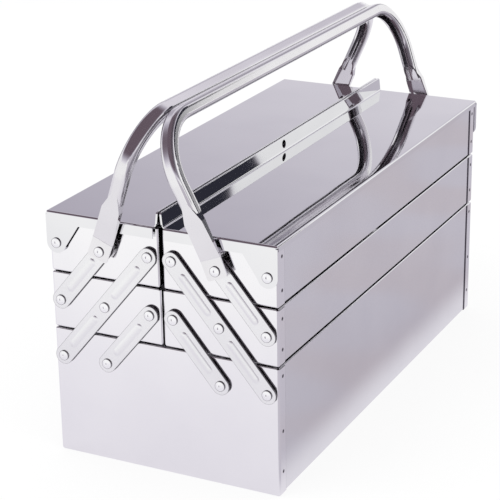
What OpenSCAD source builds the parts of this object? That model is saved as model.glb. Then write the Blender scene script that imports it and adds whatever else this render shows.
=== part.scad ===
// Five-tray cantilever tool box in polished sheet steel.
// X runs along the box, Y across it and Z up. The floor is Z = 0 and the box is centred on X and Y.
// "Left" is +Y and "right" is -Y, "rear" is +X and "front" is -X.

/* [Boxes and trays] */
// Length over the end panels
box_l = 430; // [360:1:520]
// Width over the end-panel flanges
box_w = 200; // [180:1:240]
// Height of the bottom box, floor to rim
bottom_h = 109.2; // [90:0.1:150]
// Height of a middle tray
tray_h = 47.3; // [44:0.1:60]
// Height of a top tray
top_tray_h = 49.3; // [47:0.1:60]
// Gap between one tier's rim and the tray above it
tier_gap = 1; // [0.8:0.1:3]
// Gap between the two middle trays
middle_gap = 1.4; // [1:0.1:5]
// Gap between the two top trays
top_gap = 3.4; // [2:0.1:5]

/* [Sheet metal] */
// Sheet thickness
sheet = 0.8; // [0.6:0.1:1]
// Inside radius of the end panels' bends
bend_in = 1.2; // [1.1:0.1:2]
// Width of the end panels' flanges, lapped over the shell
flange_w = 11; // [8:0.5:15]
// Height of the folded hem along each rim
hem_h = 6; // [4:0.5:10]
// Distance of the spot welds from the end face
weld_in = 6.5; // [5:0.5:7]
// Radius of a spot weld's dent
weld_r = 1.5; // [1:0.1:2]
// Depth of a spot weld's dent
weld_depth = 0.25; // [0.1:0.05:0.3]

/* [Lids] */
// Clearance of the lid over the tray's long rim as it swings open
rim_gap = 0.14; // [0.1:0.01:1]
// Distance from an end panel to the lid's end flange
lid_standoff = 2.2; // [2:0.1:2.2]
// Gap between a tray's long side and the lid's side flange
lid_side_gap = 0.2; // [0.2:0.1:1]
// Inside radius of the lid's outer bends
lid_bend_in = 0.8; // [0.5:0.1:2]
// Depth of the lid's end flange below its top
lid_end_h = 9.7; // [7:0.1:14]
// Depth of the lid's side flange below its top
lid_side_h = 5; // [4:0.1:7]
// Radius of the hinge ear
ear_r = 8.6; // [8:0.1:10]
// Width of the slanting edge between end flange and hinge ear
ear_slope_w = 12; // [8:0.5:20]
// Height of the grip lip above the lid
lip_h = 12.2; // [11:0.1:16]
// Inside radius of the bend at the foot of the lip
lip_bend_in = 1.6; // [0.8:0.1:2]
// Lean of the grip lips towards each other, in degrees
lip_lean = 6; // [4:0.5:10]
// Gap between the tops of the two lips
lip_gap = 1.2; // [1:0.1:3]
// Setback of the lip's ends from the lid's ends
lip_inset = 2; // [1:0.5:12]
// Radius of the lip's upper corners
lip_corner = 2.5; // [1:0.5:4]
// Radius of the padlock hole
lock_r = 3.5; // [3:0.1:4]
// Height of the padlock hole above the lid
lock_z = 6; // [5.5:0.1:6]

/* [Arms] */
// Width of an arm
arm_w = 15; // [13:0.5:16]
// Thickness of an arm
arm_t = 1.5; // [1.2:0.1:1.5]
// Distance from the box's long side to the outermost pivots
pivot_edge = 9; // [8.8:0.1:10]
// Distance from the middle plane to the innermost pivots
pivot_in = 10.4; // [10.2:0.1:14]
// Depth of the pivots below the top of their tier
pivot_drop = 22.2; // [18:0.1:24]
// Width of the pressed rib in an arm
rib_w = 6.5; // [4:0.1:8]
// Height of the pressed rib
rib_h = 0.7; // [0.5:0.1:1]
// Distance from a pivot to the end of a rib
rib_clear = 12; // [11:0.5:16]

/* [Rivets] */
// Radius of a rivet's shank
rivet_r = 2.4; // [2:0.1:2.8]
// Radius of a rivet's head
head_r = 4.2; // [3.8:0.1:4.6]
// Height of the head
head_h = 1.4; // [1.2:0.1:1.8]
// Height of the head's straight edge, below its dome
head_edge = 0.8; // [0.4:0.1:0.9]
// Radius of the head formed inside the tray
tail_r = 3.6; // [3.2:0.1:4]
// Thickness of the head formed inside the tray
tail_h = 1.2; // [0.8:0.1:1.6]
// Radius of the spacer behind each arm and lid ear
spacer_r = 5; // [4.5:0.1:5.5]
// Thickness of the spacer behind each arm
spacer_t = 1.2; // [0.8:0.1:2]
// Thickness of the washer between arm and handle
washer_t = 3.1; // [2.6:0.1:4]
// Radial clearance of a rivet in its hole
fit_gap = 0.05; // [0.02:0.01:0.1]
// Play along a rivet between the pieces that turn on it
play = 0.1; // [0.05:0.01:0.15]

/* [Handles] */
// Distance from pivot to the top of the grip, along the leg
handle_h = 124; // [115:1:140]
// Outer radius of the bends between legs and grip
handle_bend_r = 46; // [36:1:50]
// Width of the handle's channel
handle_w = 12.5; // [11:0.5:14]
// Depth of the handle's channel
handle_d = 11.5; // [10:0.1:12]
// Thickness of the handle's metal
handle_t = 1.2; // [1:0.1:1.5]
// Radius of the channel's corners
handle_round = 4; // [3:0.1:4]
// Width of the slot along the channel's inner side
slot_w = 6; // [5:0.1:8]
// Width of the flat foot at the pivot
foot_w = 18; // [16:0.5:19]
// Length of the foot beyond the pivot
foot_drop = 6.5; // [6:0.1:7]
// Radius of the foot's corners
foot_round = 2; // [1:0.1:3]
// Height above the pivot where the leg starts to lean out
foot_rise = 10; // [9:0.5:12]
// Outward lean of each leg, in degrees
splay = 9; // [8.5:0.5:12]
// Length of the flat part of the leaning leg
flat_l = 31; // [28:1:40]
// Length over which the flat part grows into the channel
taper_l = 17; // [14:1:22]
// Depth of the leg's side flanges at the foot
foot_flange_d = 1.8; // [1.6:0.1:3]
// Depth of the leg's side flanges where the channel starts
flange_d = 5.5; // [3:0.1:6]
// Draw-in of the leg's sides between the foot and the channel
side_draft = 1; // [0.5:0.1:1.5]
// Length over which the side flanges close in on the channel
close_l = 6; // [5.5:0.1:7]
// How far the crease at the foot stands proud of the metal
crease = 0.1; // [0.05:0.05:0.2]
// How far the bends' metal swells beyond the straight channels
bend_swell = 0.02; // [0.01:0.01:0.05]
// Length over which the straight channels reach into the bends
bend_lap = 0.2; // [0.1:0.1:0.5]
// Gap between the two grips when they stand together
grip_gap = 1; // [0.6:0.1:3]

/* [Hidden] */

$fn = 48;

LEFT = 1;
RIGHT = -1;
FRONT = -1;
REAR = 1;
// A cut reaches this far past the face that it opens
over = 1;

half_l = box_l / 2;
half_w = box_w / 2;
bend_out = bend_in + sheet;

// Heights of the tiers
arm_rise = tray_h + tier_gap;
middle_z = bottom_h + tier_gap;
top_z = middle_z + arm_rise;
top_rim_z = top_z + top_tray_h;

// Pivot columns, from the long side inwards, and pivot rows, from the floor up
outer_y = half_w - pivot_edge;
arm_run = (outer_y - pivot_in) / 2;
mid_y = outer_y - arm_run;
inner_y = mid_y - arm_run;
row_a = bottom_h - pivot_drop;
row_b = row_a + arm_rise;
row_c = row_b + arm_rise;
arm_span = norm([arm_run, arm_rise]);
arm_angle = 90 + atan(arm_run / arm_rise);
hole_r = rivet_r + fit_gap;

// Stack outward from an end panel's face
arm_x = spacer_t + play;
arm_head_x = arm_x + arm_t + play;
foot_x = arm_head_x + washer_t + play;
foot_head_x = foot_x + handle_t + play;
lid_head_x = lid_standoff + sheet + play;

// Lid
lid_end_x = half_l + lid_standoff + sheet;
lid_side_y = half_w + lid_side_gap + sheet;
lid_bend = lid_bend_in + sheet;
hinge_y = lid_side_y - ear_r;
rim_swing_r = norm([half_w - 2 * sheet - hinge_y, top_rim_z - sheet - row_c]) + sheet;
lid_z = hundredth(row_c + rim_swing_r + rim_gap + sheet);
lip_bend = lip_bend_in + sheet;
lip_ply = (lip_h - lip_bend_in) / cos(lip_lean);
lip_y = hundredth(lip_gap / 2 + (lip_bend + sheet) * cos(lip_lean) + lip_ply * sin(lip_lean));

// Handle
grip_reach = handle_h - handle_round;
grip_side = handle_w / 2 - handle_round;
handle_lean = asin((mid_y - grip_gap / 2 - handle_round) / norm([grip_reach, grip_side]))
    - atan(grip_side / grip_reach);
foot_mid_x = half_l + foot_x + handle_t / 2;
bend_z = handle_h - handle_bend_r;
web_mid_r = handle_bend_r - handle_t / 2;
leg_l = (bend_z - foot_rise - web_mid_r * sin(splay)) / cos(splay);
bend_x = hundredth(foot_mid_x + leg_l * sin(splay) - web_mid_r * cos(splay));
channel_l = leg_l - flat_l;

steel = [0.80, 0.80, 0.82];
lid_steel = [0.66, 0.65, 0.70];
arm_steel = [0.88, 0.88, 0.90];
rivet_steel = [0.74, 0.74, 0.76];
handle_steel = [0.72, 0.70, 0.74];

// Rounds a length to 0.01 mm, so that the pieces of one sheet meet exactly
function hundredth(v) = round(100 * v) / 100;

// Placing

module at_side(side) mirror([0, side < 0 ? 1 : 0, 0]) children();

module at_end(end) mirror([end < 0 ? 1 : 0, 0, 0]) children();

module both_ends() for (end = [FRONT, REAR]) at_end(end) children();

module both_sides() for (side = [LEFT, RIGHT]) at_side(side) children();

// Stands a flat outline up across the box, so its x and y become Y and Z, and thickens it along X
module along_x(length) rotate([90, 0, 90]) linear_extrude(length) children();

// Lays an outline of x and z along Y, centred on the middle plane
module along_y(length) rotate([90, 0, 0]) linear_extrude(length, center = true) children();

// Flat shapes

// Part of a ring between two angles, at most a quarter turn apart
module arc_2d(r_in, r_out, from, to) {
    intersection() {
        difference() {
            circle(r_out);
            circle(r_in);
        }
        rotate(from) square(2 * r_out);
        rotate(to - 90) square(2 * r_out);
    }
}

// Upright trough outline with two round lower corners
module trough_2d(y0, y1, z0, z1, r) {
    translate([y0, z0 + r]) square([y1 - y0, z1 - z0 - r]);
    translate([y0 + r, z0]) square([y1 - y0 - 2 * r, r]);
    for (y = [y0 + r, y1 - r]) translate([y, z0 + r]) circle(r);
}

// Strip with round ends about (0, 0) and (length, 0)
module strip_2d(length, width) {
    translate([0, -width / 2]) square([length, width]);
    for (y = [0, length]) translate([y, 0]) circle(width / 2);
}

// Handle channel: the outer side of the web lies on x = 0 and the slot opens towards -x.
// A swell thickens its metal by that much on every side.
module channel_2d(swell = 0) {
    wall = handle_t + swell;
    difference() {
        translate([swell, 0])
            rounded_2d(handle_d + 2 * swell, handle_w + 2 * swell, handle_round + swell);
        translate([-wall, 0])
            rounded_2d(handle_d - 2 * wall, handle_w - 2 * wall, handle_round - wall);
        translate([-handle_d - over, swell - slot_w / 2])
            square([wall + 2 * over, slot_w - 2 * swell]);
    }
}

module rounded_2d(depth, width, r) {
    translate([-depth, r - width / 2]) square([depth, width - 2 * r]);
    translate([r - depth, -width / 2]) square([depth - 2 * r, width]);
    for (x = [r - depth, -r], y = [r - width / 2, width / 2 - r]) translate([x, y]) circle(r);
}

// Sheet-metal boxes and trays

// Solid block whose end face at x1, two long sides and floor meet in round edges
module pan_block(y0, y1, z0, z1, x0, x1, r) {
    translate([x0, 0, 0]) along_x(x1 - r - x0) trough_2d(y0, y1, z0, z1, r);
    translate([x1 - r, y0 + r, z0 + r]) cube([r, y1 - y0 - 2 * r, z1 - z0 - r]);
    for (y = [y0 + r, y1 - r]) {
        translate([x1 - r, y, z0 + r]) cylinder(r = r, h = z1 - z0 - r);
        translate([x1 - r, y, z0 + r]) sphere(r);
    }
    translate([x1 - r, y1 - r, z0 + r]) rotate([90, 0, 0]) cylinder(r = r, h = y1 - y0 - 2 * r);
}

// End panel at the rear: a pan whose flanges lap over the shell's floor and sides
module end_panel(y0, y1, z0, rim, holes, welds) {
    top = rim - sheet;
    hem_l = y1 - y0 - 2 * bend_out;
    difference() {
        union() {
            difference() {
                pan_block(y0, y1, z0, top, half_l - flange_w, half_l, bend_out);
                pan_block(y0 + sheet, y1 - sheet, z0 + sheet, top + over,
                    half_l - flange_w - over, half_l - sheet, bend_in);
            }
            translate([half_l - 2 * sheet, y0 + bend_out, rim - hem_h])
                cube([2 * sheet, hem_l, hem_h - sheet]);
            translate([half_l - sheet, y1 - bend_out, top]) rotate([90, 0, 0])
                cylinder(r = sheet, h = hem_l);
        }
        for (p = holes) translate([half_l - sheet - over, p[0], p[1]]) rotate([0, 90, 0])
            cylinder(r = hole_r, h = sheet + 2 * over);
        for (z = welds) {
            translate([half_l - weld_in, y1, z]) weld_dent();
            translate([half_l - weld_in, y0, z]) weld_dent();
        }
    }
}

// Shallow round dent, centred on the face that it marks
module weld_dent() {
    dent_r = (weld_r * weld_r + weld_depth * weld_depth) / (2 * weld_depth);
    for (side = [LEFT, RIGHT]) translate([0, side * (dent_r - weld_depth), 0]) intersection() {
        sphere(dent_r);
        translate([0, -side * (dent_r - weld_depth / 2), 0])
            cube([3 * weld_r, 2 * weld_depth, 3 * weld_r], center = true);
    }
}

// Floor and two long sides in one folded sheet, with a folded hem along each rim
module shell(y0, y1, z0, rim) {
    shell_l = 2 * (half_l - bend_out);
    top = rim - sheet;
    translate([-shell_l / 2, 0, 0]) along_x(shell_l) {
        difference() {
            trough_2d(y0 + sheet, y1 - sheet, z0 + sheet, top, bend_in);
            trough_2d(y0 + 2 * sheet, y1 - 2 * sheet, z0 + 2 * sheet, top + over, bend_in - sheet);
        }
        for (y = [y0 + sheet, y1 - 3 * sheet]) {
            translate([y, rim - hem_h]) square([2 * sheet, hem_h - sheet]);
            translate([y + sheet, top]) circle(sheet);
        }
    }
}

module bottom_box_shell() color(steel) shell(-half_w, half_w, 0, bottom_h);

module bottom_box_panel() color(steel) end_panel(-half_w, half_w, 0, bottom_h,
    [for (side = [LEFT, RIGHT], y = [outer_y, mid_y]) [side * y, row_a]],
    [20, bottom_h / 2, bottom_h - 8]);

module middle_tray_shell() color(steel) shell(middle_gap / 2, half_w, middle_z, middle_z + tray_h);

module middle_tray_panel() color(steel)
    end_panel(middle_gap / 2, half_w, middle_z, middle_z + tray_h,
        [for (y = [outer_y, mid_y, inner_y]) [y, row_b]], tray_welds(middle_z, tray_h));

module top_tray_shell() color(steel) shell(top_gap / 2, half_w, top_z, top_rim_z);

module top_tray_panel() color(steel)
    end_panel(top_gap / 2, half_w, top_z, top_rim_z,
        [[hinge_y, row_c], [mid_y, row_c], [inner_y, row_c]], tray_welds(top_z, top_tray_h));

function tray_welds(z, h) = [z + 13, z + h - 9];

// Lids

// Outline of the lid's end flange in Y and Z, with its hinge ear
module lid_end_2d() {
    flange_z = lid_z - lid_end_h;
    top = lid_z - lid_bend;
    slope_y = hinge_y - ear_r - ear_slope_w;
    slope_r = ear_r - sheet / 2;
    slope_a = 219;
    translate([lip_y, flange_z]) square([lid_side_y - lid_bend - lip_y, top - flange_z]);
    polygon([[slope_y, flange_z], [hinge_y + slope_r * cos(slope_a), row_c + slope_r * sin(slope_a)],
        [lid_side_y, row_c], [lid_side_y, top - sheet], [hinge_y, top - sheet]]);
    translate([hinge_y, row_c]) circle(ear_r);
}

// Lid of the left top tray: sheet, side flange, end flanges with ears, and grip lip
module lid() color(lid_steel) difference() {
    straight = lid_end_x - lid_bend;
    side_l = straight - sheet;
    union() {
        translate([-straight, lip_y, lid_z - sheet])
            cube([2 * straight, lid_side_y - lid_bend - lip_y, sheet]);
        translate([-straight, 0, 0]) along_x(2 * straight)
            translate([lid_side_y - lid_bend, lid_z - lid_bend]) arc_2d(lid_bend_in, lid_bend, 0, 90);
        translate([-side_l, lid_side_y - sheet, lid_z - lid_side_h])
            cube([2 * side_l, sheet, lid_side_h - lid_bend]);
        both_ends() lid_end(straight);
        lip(lid_end_x - lip_inset);
    }
    both_ends() translate([lid_end_x - sheet - over, hinge_y, row_c]) rotate([0, 90, 0])
        cylinder(r = hole_r, h = sheet + 2 * over);
    translate([0, lip_y + over, lid_z + lock_z]) rotate([90, 0, 0]) cylinder(r = lock_r, h = lip_y + over);
}

module lid_end(straight) {
    end_w = lid_side_y - lid_bend - lip_y;
    translate([straight, lip_y + end_w / 2, lid_z - lid_bend]) along_y(end_w)
        arc_2d(lid_bend_in, lid_bend, 0, 90);
    translate([straight, lid_side_y - lid_bend, lid_z - lid_bend]) intersection() {
        difference() {
            sphere(lid_bend);
            sphere(lid_bend_in);
        }
        cube(lid_bend + over);
    }
    translate([lid_end_x - sheet, 0, 0]) along_x(sheet) lid_end_2d();
}

// Upturned grip lip, hemmed on the side that faces the other lid
module lip(reach) {
    foot_a = 180 + lip_lean;
    intersection() {
        translate([-reach, 0, 0]) along_x(2 * reach) translate([lip_y, lid_z + lip_bend_in]) {
            arc_2d(lip_bend_in, lip_bend, foot_a, 270);
            rotate(lip_lean) {
                translate([-lip_bend, 0]) square([sheet, lip_ply - sheet]);
                translate([-lip_bend - sheet, sheet]) square([2 * sheet, lip_ply - 2 * sheet]);
                translate([-lip_bend, lip_ply - sheet]) circle(sheet);
            }
        }
        translate([0, lip_y, 0]) along_y(2 * lip_y) {
            top = lid_z + lip_h + over;
            translate([-reach, lid_z - over]) square([2 * reach, top - lid_z - lip_corner]);
            translate([lip_corner - reach, lid_z]) square([2 * (reach - lip_corner), lip_h + over]);
            for (x = [lip_corner - reach, reach - lip_corner])
                translate([x, top - lip_corner - over]) circle(lip_corner);
        }
    }
}

// Arms

// Arm of one or two spans, from its lower pivot upwards and inwards, at the rear
module arm(y, z, spans) color(arm_steel) translate([half_l + arm_x, y, z]) rotate([arm_angle, 0, 0]) {
    along_x(arm_t) difference() {
        strip_2d(spans * arm_span, arm_w);
        for (i = [0 : spans]) translate([i * arm_span, 0]) circle(hole_r);
    }
    for (i = [0 : spans - 1]) translate([arm_t, i * arm_span + rib_clear, 0])
        rib(arm_span - 2 * rib_clear);
}

// Pressed rib with round ends, standing out of the arm's outer face
module rib(length) {
    round_r = (rib_w * rib_w / 4 + rib_h * rib_h) / (2 * rib_h);
    run = length - rib_w;
    intersection() {
        translate([rib_h - round_r, rib_w / 2, 0]) {
            rotate([-90, 0, 0]) cylinder(r = round_r, h = run);
            sphere(round_r);
            translate([0, run, 0]) sphere(round_r);
        }
        translate([-rib_h / 2, -over, -rib_w]) cube([2 * rib_h, length + 2 * over, 2 * rib_w]);
    }
}

module long_arm() arm(outer_y, row_a, 2);

module lower_arm() arm(mid_y, row_a, 1);

module upper_arm() arm(outer_y, row_b, 1);

// Rivets, spacers and washers

// Rivet through the rear end panel, with its head resting at head_x
module rivet(y, z, head_x) translate([half_l, y, z]) rotate([0, 90, 0]) {
    dome_h = head_h - head_edge;
    dome_r = (head_r * head_r + dome_h * dome_h) / (2 * dome_h);
    translate([0, 0, -sheet - tail_h]) cylinder(r = tail_r, h = tail_h);
    translate([0, 0, -sheet - tail_h / 2])
        cylinder(r = rivet_r, h = sheet + (tail_h + head_edge) / 2 + head_x);
    intersection() {
        translate([0, 0, head_x + head_h - dome_r]) sphere(dome_r);
        translate([0, 0, head_x]) cylinder(r = head_r, h = head_h + over);
    }
}

// Ring on a rivet, between x and x + t outside the rear end panel
module ring(y, z, x, t) translate([half_l + x, y, z]) rotate([0, 90, 0]) difference() {
    cylinder(r = spacer_r, h = t);
    translate([0, 0, -over]) cylinder(r = hole_r, h = t + 2 * over);
}

module bottom_box_rivets() color(rivet_steel) both_ends() both_sides()
    for (y = [outer_y, mid_y]) rivet(y, row_a, arm_head_x);

module bottom_box_spacers() color(steel) both_ends() both_sides()
    for (y = [outer_y, mid_y]) ring(y, row_a, 0, spacer_t);

module middle_tray_rivets() color(rivet_steel) both_ends()
    for (y = [outer_y, mid_y, inner_y]) rivet(y, row_b, arm_head_x);

module middle_tray_spacers() color(steel) both_ends()
    for (y = [outer_y, mid_y, inner_y]) ring(y, row_b, 0, spacer_t);

module top_tray_rivets() color(rivet_steel) both_ends() {
    rivet(inner_y, row_c, arm_head_x);
    rivet(mid_y, row_c, foot_head_x);
}

module top_tray_spacers() color(steel) both_ends()
    for (y = [mid_y, inner_y]) ring(y, row_c, 0, spacer_t);

module lid_rivets() color(rivet_steel) both_ends() rivet(hinge_y, row_c, lid_head_x);

module lid_spacers() color(steel) both_ends() ring(hinge_y, row_c, 0, lid_standoff - play);

module handle_washers() color(steel) both_ends() ring(mid_y, row_c, arm_head_x, washer_t);

// Handles

// Left handle, leaning inwards about its pivots until its grip meets the other one
module handle() color(handle_steel) translate([0, mid_y, row_c]) rotate([handle_lean, 0, 0]) {
    both_ends() handle_leg();
    grip_l = 2 * (bend_x + bend_lap);
    translate([-grip_l / 2, 0, handle_h]) rotate([0, 90, 0]) linear_extrude(grip_l)
        rotate(180) channel_2d();
}

// Rear half of the handle as far as the grip: foot, crease, leaning leg and bend
module handle_leg() {
    translate([foot_mid_x - handle_t / 2, 0, 0]) difference() {
        along_x(handle_t) foot_2d();
        translate([-over, 0, 0]) rotate([0, 90, 0]) cylinder(r = hole_r, h = handle_t + 2 * over);
    }
    translate([foot_mid_x, 0, foot_rise]) along_y(foot_w + 2 * crease) circle(handle_t / 2 + crease);
    translate([bend_x, 0, bend_z]) {
        rotate([0, splay, 0]) translate([handle_bend_r, 0, 0]) leaning_leg();
        intersection() {
            rotate([90, 0, 0]) rotate_extrude() translate([handle_bend_r, 0]) channel_2d(bend_swell);
            translate([0, -handle_w, -handle_bend_r])
                cube([2 * handle_bend_r, 2 * handle_w, 3 * handle_bend_r]);
            rotate([0, splay, 0]) translate([-handle_bend_r, -handle_w, 0])
                cube([3 * handle_bend_r, 2 * handle_w, 2 * handle_bend_r]);
        }
    }
}

// Plate with low side flanges that grows into the channel, from the crease up to the bend at Z = 0
module leaning_leg() {
    leg_side = foot_w / 2 - side_draft;
    close_side = leg_side - close_l * (leg_side - grip_side) / taper_l;
    intersection() {
        union() {
            translate([0, 0, -channel_l]) linear_extrude(channel_l + bend_lap) channel_2d();
            difference() {
                translate([-handle_d, 0, 0]) along_x(handle_d) polygon([
                    [-foot_w / 2, -leg_l], [foot_w / 2, -leg_l], [leg_side, -channel_l],
                    [grip_side, taper_l - channel_l], [-grip_side, taper_l - channel_l],
                    [-leg_side, -channel_l]
                ]);
                translate([-handle_d - over, 0, 0]) along_x(handle_d + over - handle_t) {
                    translate([-foot_w, close_l - channel_l]) square([2 * foot_w, taper_l]);
                    polygon([
                        [handle_t - foot_w / 2, -leg_l - over], [foot_w / 2 - handle_t, -leg_l - over],
                        [leg_side - handle_t, -channel_l],
                        [close_side - handle_t, close_l - channel_l + over],
                        [handle_t - close_side, close_l - channel_l + over],
                        [handle_t - leg_side, -channel_l]
                    ]);
                }
            }
        }
        along_y(foot_w + 2 * over) polygon([
            [over, -leg_l - over], [-foot_flange_d, -leg_l - over], [-foot_flange_d, -leg_l],
            [-flange_d, -channel_l], [-handle_d - over, taper_l - channel_l],
            [-handle_d - over, bend_lap + over], [over, bend_lap + over]
        ]);
    }
}

// Foot outline in Y and Z about the pivot
module foot_2d() {
    r = foot_round;
    translate([-foot_w / 2, r - foot_drop]) square([foot_w, foot_rise + foot_drop - r]);
    translate([r - foot_w / 2, -foot_drop]) square([foot_w - 2 * r, r]);
    for (y = [r - foot_w / 2, foot_w / 2 - r]) translate([y, r - foot_drop]) circle(r);
}

bottom_box_shell();
at_end(FRONT) bottom_box_panel();  // bottom_box_front_panel
bottom_box_panel();  // bottom_box_rear_panel
bottom_box_rivets();
bottom_box_spacers();
middle_tray_shell();  // left_middle_tray_shell
at_end(FRONT) middle_tray_panel();  // left_middle_tray_front_panel
middle_tray_panel();  // left_middle_tray_rear_panel
middle_tray_rivets();  // left_middle_tray_rivets
middle_tray_spacers();  // left_middle_tray_spacers
at_side(RIGHT) middle_tray_shell();  // right_middle_tray_shell
at_side(RIGHT) at_end(FRONT) middle_tray_panel();  // right_middle_tray_front_panel
at_side(RIGHT) middle_tray_panel();  // right_middle_tray_rear_panel
at_side(RIGHT) middle_tray_rivets();  // right_middle_tray_rivets
at_side(RIGHT) middle_tray_spacers();  // right_middle_tray_spacers
top_tray_shell();  // left_top_tray_shell
at_end(FRONT) top_tray_panel();  // left_top_tray_front_panel
top_tray_panel();  // left_top_tray_rear_panel
top_tray_rivets();  // left_top_tray_rivets
top_tray_spacers();  // left_top_tray_spacers
lid_rivets();  // left_lid_rivets
lid_spacers();  // left_lid_spacers
at_side(RIGHT) top_tray_shell();  // right_top_tray_shell
at_side(RIGHT) at_end(FRONT) top_tray_panel();  // right_top_tray_front_panel
at_side(RIGHT) top_tray_panel();  // right_top_tray_rear_panel
at_side(RIGHT) top_tray_rivets();  // right_top_tray_rivets
at_side(RIGHT) top_tray_spacers();  // right_top_tray_spacers
at_side(RIGHT) lid_rivets();  // right_lid_rivets
at_side(RIGHT) lid_spacers();  // right_lid_spacers
lid();  // left_lid
at_side(RIGHT) lid();  // right_lid
at_end(FRONT) long_arm();  // left_long_arm_front
long_arm();  // left_long_arm_rear
at_side(RIGHT) at_end(FRONT) long_arm();  // right_long_arm_front
at_side(RIGHT) long_arm();  // right_long_arm_rear
at_end(FRONT) lower_arm();  // left_lower_arm_front
lower_arm();  // left_lower_arm_rear
at_side(RIGHT) at_end(FRONT) lower_arm();  // right_lower_arm_front
at_side(RIGHT) lower_arm();  // right_lower_arm_rear
at_end(FRONT) upper_arm();  // left_upper_arm_front
upper_arm();  // left_upper_arm_rear
at_side(RIGHT) at_end(FRONT) upper_arm();  // right_upper_arm_front
at_side(RIGHT) upper_arm();  // right_upper_arm_rear
handle();  // left_handle
at_side(RIGHT) handle();  // right_handle
handle_washers();  // left_handle_washers
at_side(RIGHT) handle_washers();  // right_handle_washers
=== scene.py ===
"""Five-tray cantilever tool box in polished stainless sheet, on a white studio floor.

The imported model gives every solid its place. This script dresses the solids in their steels and
sets up the studio and the camera. Lengths are metres: X along the box, Y across it and Z up.
"""

import logging
import math
from dataclasses import dataclass, field
from enum import Enum
from typing import Any, Optional, TypeVar, Union

import bmesh
import bpy
from mathutils import Matrix, Vector

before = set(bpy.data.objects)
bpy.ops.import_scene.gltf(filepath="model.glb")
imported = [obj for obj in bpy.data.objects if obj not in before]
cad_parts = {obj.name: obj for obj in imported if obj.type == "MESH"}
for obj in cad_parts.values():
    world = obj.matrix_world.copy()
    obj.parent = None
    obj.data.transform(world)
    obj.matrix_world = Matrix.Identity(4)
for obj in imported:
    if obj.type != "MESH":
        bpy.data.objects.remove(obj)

LOG = logging.getLogger("tool_box")
IMAGE_PX = 500
MM = 0.001

Colour = tuple[float, float, float, float]
Span = tuple[float, float]
WHITE: Colour = (1.0, 1.0, 1.0, 1.0)


class Side(Enum):
    """The two stacks of trays, by the sign of their Y."""

    LEFT = 1
    RIGHT = -1

    @property
    def prefix(self) -> str:
        """The first word of this side's node names."""
        return self.name.lower()


class End(Enum):
    """The two ends of the box, by the sign of their X."""

    FRONT = -1
    REAR = 1

    @property
    def suffix(self) -> str:
        """The last word of this end's node names."""
        return self.name.lower()


class Lie(Enum):
    """The way that the fine lines of a finish run, as the stretch of their pattern along X, Y and Z."""

    ALONG_X = (0.02, 1.0, 1.0)
    EVEN = (1.0, 1.0, 1.0)


class Signal:
    """A value that runs between shader nodes, so that masks can be written as sums and products."""

    def __init__(self, recipe: "Recipe", socket: bpy.types.NodeSocket) -> None:
        """Wraps an output socket of a recipe's tree.

        Args:
            recipe: The node tree that the socket belongs to.
            socket: The output that carries the value.
        """
        self.recipe = recipe
        self.socket = socket

    def _math(self, operation: str, *values: Union["Signal", float]) -> "Signal":
        """Adds one Math node.

        Args:
            operation: The Math node's operation.
            values: Its inputs, in order.

        Returns:
            The node's result.
        """
        return self.recipe.node("ShaderNodeMath", {"operation": operation}, *values)

    def __add__(self, other: Union["Signal", float]) -> "Signal":
        """The sum of two values."""
        return self._math("ADD", self, other)

    def __radd__(self, other: float) -> "Signal":
        """The sum, written with the number first."""
        return self._math("ADD", other, self)

    def __sub__(self, other: Union["Signal", float]) -> "Signal":
        """The difference of two values."""
        return self._math("SUBTRACT", self, other)

    def __rsub__(self, other: float) -> "Signal":
        """The difference, written with the number first."""
        return self._math("SUBTRACT", other, self)

    def __mul__(self, other: Union["Signal", float]) -> "Signal":
        """The product of two values."""
        return self._math("MULTIPLY", self, other)

    def __rmul__(self, other: float) -> "Signal":
        """The product, written with the number first."""
        return self._math("MULTIPLY", other, self)

    def __neg__(self) -> "Signal":
        """The value with its sign turned."""
        return self._math("MULTIPLY", self, -1.0)

    def __abs__(self) -> "Signal":
        """The value without its sign."""
        return self._math("ABSOLUTE", self)

    def at_least(self, other: Union["Signal", float]) -> "Signal":
        """The larger of two values."""
        return self._math("MAXIMUM", self, other)

    def at_most(self, other: Union["Signal", float]) -> "Signal":
        """The smaller of two values."""
        return self._math("MINIMUM", self, other)

    def root(self) -> "Signal":
        """The square root."""
        return self._math("SQRT", self)

    def bearing(self, ahead: "Signal") -> "Signal":
        """The angle in radians of a direction whose sideways part is this value.

        Args:
            ahead: The direction's forward part.

        Returns:
            The angle from straight ahead.
        """
        return self._math("ARCTAN2", self, ahead)

    def ramp(self, low: float, high: float) -> "Signal":
        """A smooth step from 0 at low to 1 at high.

        Args:
            low: The value where the step starts.
            high: The value where it ends.

        Returns:
            The stepped value.
        """
        settings = {"interpolation_type": "SMOOTHSTEP"}
        if low < high:
            return self.recipe.node("ShaderNodeMapRange", settings, self, low, high)
        return 1.0 - self.recipe.node("ShaderNodeMapRange", settings, self, high, low)


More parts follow.
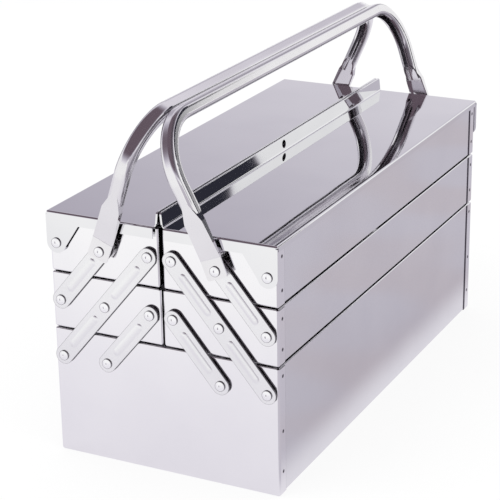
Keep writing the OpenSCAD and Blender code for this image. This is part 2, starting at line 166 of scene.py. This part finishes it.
class Recipe:
    """The node tree of a material or a world, built by one method that adds and links any node."""

    def __init__(self, owner: Union[bpy.types.Material, bpy.types.World]) -> None:
        """Starts an empty tree.

        Args:
            owner: The material or world.
        """
        self.owner = owner
        owner.use_nodes = True
        self.tree = owner.node_tree
        self.tree.nodes.clear()

    def node(
        self,
        kind: str,
        settings: dict[str, Any],
        *ordered: Any,
        output: Union[int, str] = 0,
        **named: Any,
    ) -> Signal:
        """Adds a node, sets it up and feeds it.

        Args:
            kind: The node's type.
            settings: Properties of the node, set before its sockets are read.
            ordered: Values or signals for its first inputs, in order; None leaves one as it is.
            output: The output that the result reads, by number or name.
            named: Values or signals for inputs by name, with underscores for spaces.

        Returns:
            The chosen output.
        """
        node = self.tree.nodes.new(kind)
        for key, value in settings.items():
            setattr(node, key, value)
        for socket, value in zip(node.inputs, ordered):
            self._feed(socket, value)
        for key, value in named.items():
            self._feed(node.inputs[key.replace("_", " ")], value)
        return Signal(self, node.outputs[output])

    def _feed(self, socket: bpy.types.NodeSocket, value: Any) -> None:
        """Links a signal to a socket, or sets the socket's own value.

        Args:
            socket: The input.
            value: A signal, a number, a colour or a vector; None leaves the socket as it is.
        """
        if isinstance(value, Signal):
            self.tree.links.new(value.socket, socket)
        elif value is not None:
            socket.default_value = value

    def split(self, vector: Signal) -> list[Signal]:
        """The three parts of a vector.

        Args:
            vector: The vector.

        Returns:
            Its parts along X, Y and Z.
        """
        node = self.tree.nodes.new("ShaderNodeSeparateXYZ")
        self.tree.links.new(vector.socket, node.inputs[0])
        return [Signal(self, output) for output in node.outputs]

    def here(self) -> Signal:
        """The point on the object, in metres."""
        return self.node("ShaderNodeTexCoord", {}, output="Object")

    def stretched(self, scale: tuple[float, float, float], offset: Vector = Vector()) -> Signal:
        """The point on the object in metres, stretched for a pattern.

        Args:
            scale: How much the pattern's coordinates grow along X, Y and Z.
            offset: A shift that gives like pieces different patterns.

        Returns:
            The stretched point.
        """
        return self.node("ShaderNodeMapping", {}, self.here(), offset, None, scale)

    def noise(self, point: Signal, scale: float, detail: float = 2.0) -> Signal:
        """A cloudy value from 0 to 1.

        Args:
            point: The place that it is read at.
            scale: Its clouds per metre.
            detail: Its number of finer layers.

        Returns:
            The value.
        """
        return self.node("ShaderNodeTexNoise", {}, Vector=point, Scale=scale, Detail=detail)

    def blend(self, mask: Any, first: Any, second: Any) -> Signal:
        """A colour between two, by a mask.

        Args:
            mask: 0 for the first colour and 1 for the second.
            first: The first colour.
            second: The second colour.

        Returns:
            The mixed colour.
        """
        mix = self.tree.nodes.new("ShaderNodeMix")
        mix.data_type = "RGBA"
        self._feed(mix.inputs[0], mask)
        self._feed(mix.inputs[6], first)
        self._feed(mix.inputs[7], second)
        return Signal(self, mix.outputs[2])

    def tint(self, tone: Signal, stops: tuple[tuple[float, Colour], ...]) -> Signal:
        """A colour for each tone.

        Args:
            tone: The tone, 0 to 1.
            stops: Tones and their colours, from dark to light.

        Returns:
            The colour.
        """
        node = self.tree.nodes.new("ShaderNodeValToRGB")
        points = node.color_ramp.elements
        while len(points) < len(stops):
            points.new(0.5)
        for point, (place, colour) in zip(points, stops):
            point.position = place
            point.color = colour
        self.tree.links.new(tone.socket, node.inputs[0])
        return Signal(self, node.outputs[0])

    def finish(self, shader: Signal) -> Any:
        """Sends a shader to the tree's output.

        Args:
            shader: The finished shader.

        Returns:
            The material or world.
        """
        kind = "World" if isinstance(self.owner, bpy.types.World) else "Material"
        out = self.tree.nodes.new(f"ShaderNodeOutput{kind}")
        self.tree.links.new(shader.socket, out.inputs["Surface"])
        return self.owner


@dataclass(frozen=True)
class Steel:
    """A bright stainless finish: how light, how smooth and how wavy, and which way its fine lines run."""

    name: str
    colour: Colour
    stain: Colour
    roughness: float
    haze: float
    lie: Lie
    line_depth: float
    wave_depth: float
    wave_scale: float = 9.0
    # Colour of the dull weld spots, and of the painted shade in gaps, hollows and creases
    mark_colour: Colour = (0.12, 0.11, 0.13, 1)
    mark_roughness: float = 0.25
    line_scale: float = 900.0
    line_haze: float = 0.25
    cloud_scale: float = 14.0
    stained: Span = (0.35, 0.7)
    wave_shift: tuple[float, float, float] = (3.1, 1.7, 0.4)

    def marks(self, recipe: Recipe) -> Optional[Signal]:
        """The places where the steel is dull and dark, such as weld spots, and the painted shade in gaps,
        hollows and creases.

        Args:
            recipe: The material's tree.

        Returns:
            A mask that is 1 on the marks and the painted shade, or None for a finish without any.
        """
        return None

    def material(self) -> bpy.types.Material:
        """Builds the finish.

        Returns:
            The material.
        """
        recipe = Recipe(bpy.data.materials.new(self.name))
        lines = recipe.noise(recipe.stretched(self.lie.value), self.line_scale, 3.0)
        cloud = recipe.noise(recipe.here(), self.cloud_scale, 3.0)
        shifted = recipe.stretched(Lie.EVEN.value, Vector(self.wave_shift))
        wave = recipe.noise(shifted, self.wave_scale, 1.0)
        colour = recipe.blend(cloud.ramp(*self.stained), self.colour, self.stain)
        uneven = (cloud - 0.5) + self.line_haze * (lines - 0.5)
        roughness = self.roughness + self.haze * uneven
        # Marks and painted shade: the mask darkens the colour and roughens the steel
        marks = self.marks(recipe)
        if marks is not None:
            colour = recipe.blend(marks, colour, self.mark_colour)
            roughness = roughness + self.mark_roughness * marks
        swell = recipe.node("ShaderNodeBump", {}, Strength=1.0, Distance=self.wave_depth, Height=wave)
        bump = recipe.node(
            "ShaderNodeBump", {}, Strength=1.0, Distance=self.line_depth, Height=lines, Normal=swell
        )
        shader = recipe.node(
            "ShaderNodeBsdfPrincipled",
            {},
            Base_Color=colour,
            Metallic=1.0,
            Roughness=roughness,
            Normal=bump,
        )
        return recipe.finish(shader)


@dataclass(frozen=True)
class WeldedSteel(Steel):
    """End panel with dark spot welds down its side flanges, and a sheared edge on each flange painted dark,
    partly as dull metal and partly as painted shadow.
    """

    heights: tuple[float, ...] = ()
    from_middle: float = 208.5 * MM
    spot_r: float = 1.5 * MM
    sheared_x: float = 204.0 * MM
    shear_depth: float = 0.15 * MM
    spot_edge: Span = (1.25, 0.6)

    def marks(self, recipe: Recipe) -> Optional[Signal]:
        """The dull discs of the welds, and the sheared edge of the flanges, painted dark partly as dull metal
        and partly as the shadow line beside it.

        Args:
            recipe: The material's tree.

        Returns:
            The mask of the discs and the edge.
        """
        x, _, z = recipe.split(recipe.here())
        along = abs(x) - self.from_middle
        # The flanges' sheared edge: partly dull metal, partly a painted shadow line
        marks = (abs(x) - self.sheared_x).ramp(self.shear_depth, 0.5 * self.shear_depth)
        outer, inner = (share * self.spot_r for share in self.spot_edge)
        for height in self.heights:
            rise = z - height
            marks = marks.at_least((along * along + rise * rise).root().ramp(outer, inner))
        return marks


@dataclass(frozen=True)
class RimmedSteel(Steel):
    """Steel of a disc or strip with a narrow dark rim, found from the distance to its centre line: partly the
    dull sheared edge and partly painted shade of the gap beside it.

    The centre line starts at a foot and climbs inwards by whole spans of the arms; no span makes a disc.
    """

    foot: tuple[float, float] = (91.0 * MM, 87.0 * MM)
    run: float = 40.3 * MM
    rise: float = 48.3 * MM
    spans: int = 1
    rim_at: float = 7.15 * MM
    rim_soft: float = 0.3 * MM

    def marks(self, recipe: Recipe) -> Optional[Signal]:
        """The rim, partly dull sheared edge and partly painted shade.

        Args:
            recipe: The material's tree.

        Returns:
            The mask of the rim.
        """
        _, y, z = recipe.split(recipe.here())
        step = math.hypot(self.run, self.rise)
        inward = self.foot[0] - abs(y)
        upward = z - self.foot[1]
        along = (inward * self.run + upward * self.rise) * (1 / step)
        across = (inward * self.rise - upward * self.run) * (1 / step)
        beyond = along - along.at_least(0.0).at_most(self.spans * step)
        return (across * across + beyond * beyond).root().ramp(self.rim_at, self.rim_at + self.rim_soft)


@dataclass(frozen=True)
class StudSteel(Steel):
    """Rivet steel with painted shade round each head, where the head meets the arm, on three rows and three
    columns a side.
    """

    middle: tuple[float, float] = (50.7 * MM, 135.3 * MM)
    run: float = 40.3 * MM
    rise: float = 48.3 * MM
    rim_at: float = 3.7 * MM
    rim_soft: float = 0.3 * MM

    def marks(self, recipe: Recipe) -> Optional[Signal]:
        """The painted shade round the rims of the heads.

        Args:
            recipe: The material's tree.

        Returns:
            The mask of the painted shade round the rims.
        """
        _, y, z = recipe.split(recipe.here())
        aside = abs(abs(y) - self.middle[0])
        aside = aside.at_most(abs(aside - self.run))
        above = abs(z - self.middle[1])
        above = above.at_most(abs(above - self.rise))
        return (aside * aside + above * above).root().ramp(self.rim_at, self.rim_at + self.rim_soft)


@dataclass(frozen=True)
class DrilledSteel(Steel):
    """Lid sheet with a padlock hole through its lip, whose wall is painted dark as shade."""

    hole_z: float = 215.5 * MM
    hole_r: float = 3.5 * MM
    wall_edge: Span = (0.15 * MM, 0.05 * MM)

    def marks(self, recipe: Recipe) -> Optional[Signal]:
        """The wall of the hole, painted dark as shade.

        Args:
            recipe: The material's tree.

        Returns:
            The mask of the wall.
        """
        x, _, z = recipe.split(recipe.here())
        rise = z - self.hole_z
        outer, inner = (self.hole_r + edge for edge in self.wall_edge)
        return (x * x + rise * rise).root().ramp(outer, inner)


@dataclass(frozen=True)
class ChannelSteel(Steel):
    """Rolled channel of one handle, with painted shade and higher roughness on the inside of the roll."""

    side: Side = Side.LEFT
    pivot_y: float = 50.7 * MM
    pivot_z: float = 183.6 * MM
    lean: float = 21.57
    reach: float = 124.0 * MM
    bend_r: float = 46.0 * MM
    bend_x: float = 186.5 * MM
    splay: float = 9.0
    channel_from: float = 52.0 * MM
    width: float = 12.5 * MM
    depth: float = 11.5 * MM
    metal: float = 1.2 * MM
    web_edge: Span = (0.6, 0.9)
    slot_edge: Span = (0.4, 0.6)
    wall_edge: float = 0.1 * MM
    fade: float = 6 * MM

    def marks(self, recipe: Recipe) -> Optional[Signal]:
        """The painted shade inside the channel, found from its distance to the handle's outer line.

        Args:
            recipe: The material's tree.

        Returns:
            The mask of the inside.
        """
        sign = self.side.value
        pivot = Vector((0.0, sign * self.pivot_y, self.pivot_z))
        turn = Vector((sign * math.radians(self.lean), 0.0, 0.0))
        local = recipe.node("ShaderNodeMapping", {"vector_type": "TEXTURE"}, recipe.here(), pivot, turn)
        x, across, rise = recipe.split(local)
        bend_z = self.reach - self.bend_r
        below = (bend_z - rise).at_least(0.0)
        out = (abs(x) + math.tan(math.radians(self.splay)) * below - self.bend_x).at_least(0.0)
        up = (rise - bend_z).at_least(0.0)
        inward = self.bend_r - (out * out + up * up).root()
        half_gap = 0.5 * (self.width - self.metal)
        past_web = inward.ramp(*(share * self.metal for share in self.web_edge))
        before_slot = inward.ramp(*(self.depth - share * self.metal for share in self.slot_edge))
        between_walls = abs(across).ramp(half_gap + self.wall_edge, half_gap - self.wall_edge)
        above_foot = rise.ramp(self.channel_from, self.channel_from + self.fade)
        return past_web * before_slot * between_walls * above_foot


SHEET = Steel(
    "bright_sheet",
    colour=(0.86, 0.86, 0.87, 1),
    stain=(0.83, 0.83, 0.845, 1),
    roughness=0.07,
    haze=0.03,
    lie=Lie.ALONG_X,
    line_depth=1e-6,
    wave_depth=0.0001,
)
# Lid sheet; its padlock hole's wall is painted dark as shade
LID = DrilledSteel(
    "mirror_lid",
    colour=(0.83, 0.83, 0.84, 1),
    stain=(0.80, 0.80, 0.815, 1),
    roughness=0.025,
    haze=0.015,
    lie=Lie.ALONG_X,
    line_depth=5e-7,
    wave_depth=0.00009,
    wave_scale=12.0,
)
STRIP = Steel(
    "tumbled_strip",
    colour=(0.88, 0.88, 0.885, 1),
    stain=(0.84, 0.84, 0.85, 1),
    roughness=0.24,
    haze=0.06,
    lie=Lie.EVEN,
    line_depth=3e-6,
    wave_depth=0.00005,
)
STUD = Steel(
    "rivet_steel",
    colour=(0.93, 0.93, 0.94, 1),
    stain=(0.91, 0.91, 0.92, 1),
    roughness=0.18,
    haze=0.05,
    lie=Lie.EVEN,
    line_depth=2e-6,
    wave_depth=0.00002,
)
CHANNEL = Steel(
    "channel",
    colour=(0.83, 0.82, 0.835, 1),
    stain=(0.78, 0.77, 0.785, 1),
    roughness=0.10,
    haze=0.04,
    lie=Lie.ALONG_X,
    line_depth=1e-6,
    wave_depth=0.00003,
)
# End panels: a lighter copy of the sheet, painted light for the brighter studio that their faces mirror
LIT_PANEL_COLOUR: Colour = (0.915, 0.91, 0.92, 1)
LIT_PANEL_STAIN: Colour = (0.89, 0.885, 0.90, 1)
# Painted shade round the rivet heads and along the arms' edges, where the arms' edges are partly dull sheared
# metal
RIM_SHADE_COLOUR: Colour = (0.30, 0.29, 0.31, 1)
# Painted shade inside the handles' channels
CHANNEL_SHADE_COLOUR: Colour = (0.42, 0.41, 0.44, 1)

# Heights of each tier's spot welds
WELDS = {
    "bottom": (20 * MM, 54.6 * MM, 101.2 * MM),
    "middle": (123.2 * MM, 148.5 * MM),
    "top": (171.5 * MM, 198.8 * MM),
}
# Lower pivot of each kind of arm, in Y and Z, and its number of spans
ARM_LINES = {
    "long": ((91.0 * MM, 87.0 * MM), 2),
    "lower": ((50.7 * MM, 87.0 * MM), 1),
    "upper": ((91.0 * MM, 135.3 * MM), 1),
}
# Distance from the middle column of rivets to the lid's hinge
LID_RUN = 41.7 * MM

Kind = TypeVar("Kind", bound=Steel)


def variant(kind: type[Kind], base: Steel, name: str, **changes: Any) -> Kind:
    """A finish of another kind with the values of a plain one.

    Args:
        kind: The class of the new finish.
        base: The finish that gives the values.
        name: The new finish's name.
        changes: Values that differ, or that only the new kind has.

    Returns:
        The finish.
    """
    return kind(**{**vars(base), "name": name, **changes})


@dataclass
class Piece:
    """Something with solids that take a finish."""

    finish: Steel
    nodes: list[str] = field(default_factory=list)

    def dress(self) -> None:
        """Gives each solid its finish and reports it."""
        material = self.finish.material()
        for name in self.nodes:
            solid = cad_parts[name]
            solid.data.materials.clear()
            solid.data.materials.append(material)
            LOG.info("%s: %s", name, self.finish.name)


def trays(side: Side) -> list[str]:
    """The first words of one side's tray nodes, from the lower tray up."""
    return [f"{side.prefix}_{tier}_tray" for tier in ("middle", "top")]


def panel_pieces() -> list[Piece]:
    """The end panels, tier by tier."""
    stems = {"bottom": ["bottom_box"]}
    for tier in ("middle", "top"):
        stems[tier] = [f"{side.prefix}_{tier}_tray" for side in Side]
    pieces = []
    for tier, heights in WELDS.items():
        finish = variant(
            WeldedSteel,
            SHEET,
            f"{tier}_panel_sheet",
            colour=LIT_PANEL_COLOUR,
            stain=LIT_PANEL_STAIN,
            lie=Lie.EVEN,
            heights=heights,
        )
        pieces.append(Piece(finish, [f"{stem}_{end.suffix}_panel" for stem in stems[tier] for end in End]))
    return pieces


def arm_pieces() -> list[Piece]:
    """The arms, kind by kind."""
    pieces = []
    for arm, (foot, spans) in ARM_LINES.items():
        # Arms' edges darkened: partly dull sheared edge, partly painted shade of the gap beside them
        finish = variant(
            RimmedSteel, STRIP, f"{arm}_arm_strip", mark_colour=RIM_SHADE_COLOUR, foot=foot, spans=spans
        )
        names = [f"{side.prefix}_{arm}_arm_{end.suffix}" for side in Side for end in End]
        pieces.append(Piece(finish, names))
    return pieces


def rivet_pieces() -> list[Piece]:
    """The rivets of the arms and of the lids, and the rings under them."""
    stems = ["bottom_box"] + [stem for side in Side for stem in trays(side)]
    # Rivet heads with painted shade round their rims
    heads = variant(StudSteel, STUD, "rivet_heads", mark_colour=RIM_SHADE_COLOUR)
    lid_heads = variant(StudSteel, STUD, "lid_rivet_heads", mark_colour=RIM_SHADE_COLOUR, run=LID_RUN)
    rings = [f"{stem}_spacers" for stem in stems]
    rings += [f"{side.prefix}_{part}" for side in Side for part in ("lid_spacers", "handle_washers")]
    return [
        Piece(heads, [f"{stem}_rivets" for stem in stems]),
        Piece(lid_heads, [f"{side.prefix}_lid_rivets" for side in Side]),
        Piece(STUD, rings),
    ]


def handle_pieces() -> list[Piece]:
    """The two handles, each with painted shade inside its own channel."""
    return [
        Piece(
            variant(ChannelSteel, CHANNEL, f"{side.prefix}_channel", mark_colour=CHANNEL_SHADE_COLOUR, side=side),
            [f"{side.prefix}_handle"],
        )
        for side in Side
    ]


def tool_box() -> list[Piece]:
    """The sub-assemblies of the box, by finish.

    Returns:
        The pieces.
    """
    shells = ["bottom_box_shell"] + [f"{stem}_shell" for side in Side for stem in trays(side)]
    lids = [f"{side.prefix}_lid" for side in Side]
    return [
        Piece(SHEET, shells),
        *panel_pieces(),
        Piece(LID, lids),
        *arm_pieces(),
        *rivet_pieces(),
        *handle_pieces(),
    ]


@dataclass
class Surroundings:
    """The studio as the steel mirrors it: white in front, grey-lilac above the far side and dark overhead.

    A dark card at the right is what the lids' lips mirror near the front. Directions are given by their
    height, the sine of the angle above the horizon, and by their bearing in radians from +X towards +Y. Tones
    run from 0 to 1, and a pair of numbers is where a soft edge starts and ends.
    """

    plain_light: float = 1.0
    far_tone: float = 0.65
    far_height: float = 0.30
    far_bearing: float = 0.412
    fall_by_height: float = 1.8
    fall_by_bearing: float = 0.65
    far_least: float = 0.48
    dark_tone: float = 0.13
    dark_lean: float = 0.45
    dark_heights: tuple[float, float] = (0.3, 0.7)
    grip_tone: float = 0.8
    grip_heights: tuple[float, float] = (0.38, 0.52)
    card_tone: float = 0.035
    card_height: float = 0.206
    card_bearing: float = -0.51
    card_slope: float = 1.856
    card_edge: float = 0.003
    card_near: Span = (-1.0, -0.95)
    card_far: Span = (-0.26, -0.3)
    card_top: Span = (0.62, 0.58)
    ahead_from: Span = (-0.1, 0.3)
    tints: tuple[tuple[float, Colour], ...] = (
        (0.0, (0.0, 0.0, 0.0, 1)),
        (0.04, (0.036, 0.036, 0.052, 1)),
        (0.13, (0.145, 0.108, 0.135, 1)),
        (0.5, (0.495, 0.466, 0.54, 1)),
        (0.8, (0.80, 0.775, 0.835, 1)),
        (0.9, (0.89, 0.875, 0.94, 1)),
        (1.0, WHITE),
    )

    def build(self) -> None:
        """Makes the world."""
        world = bpy.data.worlds.new("studio")
        bpy.context.scene.world = world
        recipe = Recipe(world)
        x, y, z = recipe.split(recipe.node("ShaderNodeTexCoord", {}, output="Generated"))
        bearing = y.bearing(x)
        far = self.far_tone - self.fall_by_height * (z - self.far_height)
        far = far - self.fall_by_bearing * (bearing - self.far_bearing)
        far = far.at_least(self.far_least).at_most(1.0)
        far = far + z.ramp(*self.grip_heights) * (far.at_least(self.grip_tone) - far)
        tone = 1.0 - x.ramp(*self.ahead_from) * (1.0 - far)
        overhead = (z - self.dark_lean * x).ramp(*self.dark_heights)
        tone = tone + overhead * (self.dark_tone - tone)
        lower_edge = self.card_height + self.card_slope * (bearing - self.card_bearing)
        card = (z - lower_edge).ramp(-self.card_edge, self.card_edge)
        card = card * bearing.ramp(*self.card_near) * bearing.ramp(*self.card_far) * z.ramp(*self.card_top)
        tone = tone + card * (self.card_tone - tone)
        colour = recipe.tint(tone, self.tints)
        mirrored = recipe.node("ShaderNodeBackground", {}, colour, 1.0)
        plain = recipe.node("ShaderNodeBackground", {}, WHITE, self.plain_light)
        seen = recipe.node("ShaderNodeBackground", {}, WHITE, 1.0)
        glossy = recipe.node("ShaderNodeLightPath", {}, output="Is Glossy Ray")
        camera = recipe.node("ShaderNodeLightPath", {}, output="Is Camera Ray")
        inner = recipe.node("ShaderNodeMixShader", {}, glossy, plain, mirrored)
        recipe.finish(recipe.node("ShaderNodeMixShader", {}, camera, inner, seen))
        LOG.info("world: plain light %.2f", self.plain_light)


@dataclass
class Floor:
    """The floor: white to the camera, and to the steel greyer at the side and white in front, with painted
    shade where the front comes close to the box.
    """

    size: float = 12.0
    colour: Colour = (0.95, 0.95, 0.95, 1)
    glow_share: float = 0.85
    side_tone: Colour = (0.49, 0.46, 0.54, 1)
    side_blush: Colour = (0.48, 0.43, 0.49, 1)
    near_tone: Colour = (0.81, 0.785, 0.85, 1)
    front_y: float = -0.10
    side_y: float = -0.135
    near_x: Span = (0.25, 0.75)
    blush_scale: float = 5.0
    blushed: Span = (0.45, 0.62)

    def build(self) -> None:
        """Lays the floor."""
        mesh = bmesh.new()
        bmesh.ops.create_grid(mesh, x_segments=1, y_segments=1, size=self.size / 2)
        data = bpy.data.meshes.new("floor")
        mesh.to_mesh(data)
        mesh.free()
        floor = bpy.data.objects.new("floor", data)
        bpy.context.scene.collection.objects.link(floor)
        data.materials.append(self._material())
        LOG.info("floor: %.0f m square", self.size)

    def _material(self) -> bpy.types.Material:
        """Builds the floor's material.

        Returns:
            The material.
        """
        recipe = Recipe(bpy.data.materials.new("floor_white"))
        x, y, _ = recipe.split(recipe.here())
        blush = recipe.noise(recipe.here(), self.blush_scale, 1.0).ramp(*self.blushed)
        side = recipe.blend(blush, self.side_tone, self.side_blush)
        # Painted shade: to the steel, the floor darkens close to the box
        front = recipe.blend((-x).ramp(*self.near_x), self.near_tone, WHITE)
        graded = recipe.blend(y.ramp(self.side_y, self.front_y), side, front)
        seen = recipe.node("ShaderNodeLightPath", {}, output="Is Camera Ray")
        mirrored = recipe.node("ShaderNodeLightPath", {}, output="Is Glossy Ray")
        through = recipe.node("ShaderNodeLightPath", {}, output="Is Transmission Ray")
        lit = recipe.node("ShaderNodeBsdfDiffuse", {}, self.colour)
        glow = recipe.node("ShaderNodeEmission", {}, recipe.blend(mirrored, WHITE, graded), 1.0)
        share = (seen + mirrored + through) * self.glow_share
        return recipe.finish(recipe.node("ShaderNodeMixShader", {}, share, lit, glow))


@dataclass
class Lamp:
    """A square soft lamp that points at the middle of the box and stays out of the mirrored picture."""

    name: str
    place: Vector
    size: float
    watts: float
    aim: Vector = field(default_factory=lambda: Vector((0, 0, 0.12)))

    def build(self) -> None:
        """Hangs the lamp."""
        lamp = bpy.data.lights.new(self.name, "AREA")
        lamp.size = self.size
        lamp.energy = self.watts
        holder = bpy.data.objects.new(self.name, lamp)
        holder.visible_glossy = False
        bpy.context.scene.collection.objects.link(holder)
        toward = (self.aim - self.place).to_track_quat("-Z", "Y")
        holder.matrix_world = Matrix.Translation(self.place) @ toward.to_matrix().to_4x4()
        LOG.info("lamp %s: %.0f W", self.name, self.watts)


@dataclass
class Viewpoint:
    """The camera, placed where the photograph's corners and rivets put it."""

    place: Vector = field(default_factory=lambda: Vector((-1.2926, -0.6205, 0.6537)))
    azimuth: float = 26.77
    elevation: float = 20.50
    roll: float = -0.86
    focal_px: float = 1731.9
    sensor: float = 36.0

    def build(self) -> None:
        """Makes the camera and hands it to the scene."""
        data = bpy.data.cameras.new("camera")
        data.sensor_width = self.sensor
        data.lens = self.focal_px / IMAGE_PX * self.sensor
        data.clip_end = 50.0
        camera = bpy.data.objects.new("camera", data)
        bpy.context.scene.collection.objects.link(camera)
        turn = math.radians(self.azimuth)
        dip = math.radians(self.elevation)
        ahead = Vector((math.cos(dip) * math.cos(turn), math.cos(dip) * math.sin(turn), -math.sin(dip)))
        right = ahead.cross(Vector((0, 0, 1))).normalized()
        up = right.cross(ahead)
        basis = Matrix((right, up, -ahead)).transposed().to_4x4()
        tilt = Matrix.Rotation(math.radians(self.roll), 4, "Z")
        camera.matrix_world = Matrix.Translation(self.place) @ basis @ tilt
        bpy.context.scene.camera = camera
        LOG.info("camera: %.1f mm lens", data.lens)


LAMPS = (
    Lamp("key", Vector((-1.2, 0.9, 2.2)), 1.6, 14.0),
    Lamp("fill", Vector((-0.6, -2.2, 1.5)), 1.6, 8.0),
)


def main() -> None:
    """Dresses the box and builds the studio."""
    logging.basicConfig(level=logging.INFO, format="%(message)s")
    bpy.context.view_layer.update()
    bpy.context.scene.view_settings.view_transform = "Standard"
    Viewpoint().build()
    for piece in tool_box():
        piece.dress()
    Floor().build()
    Surroundings().build()
    for lamp in LAMPS:
        lamp.build()


if __name__ == "__main__":
    main()
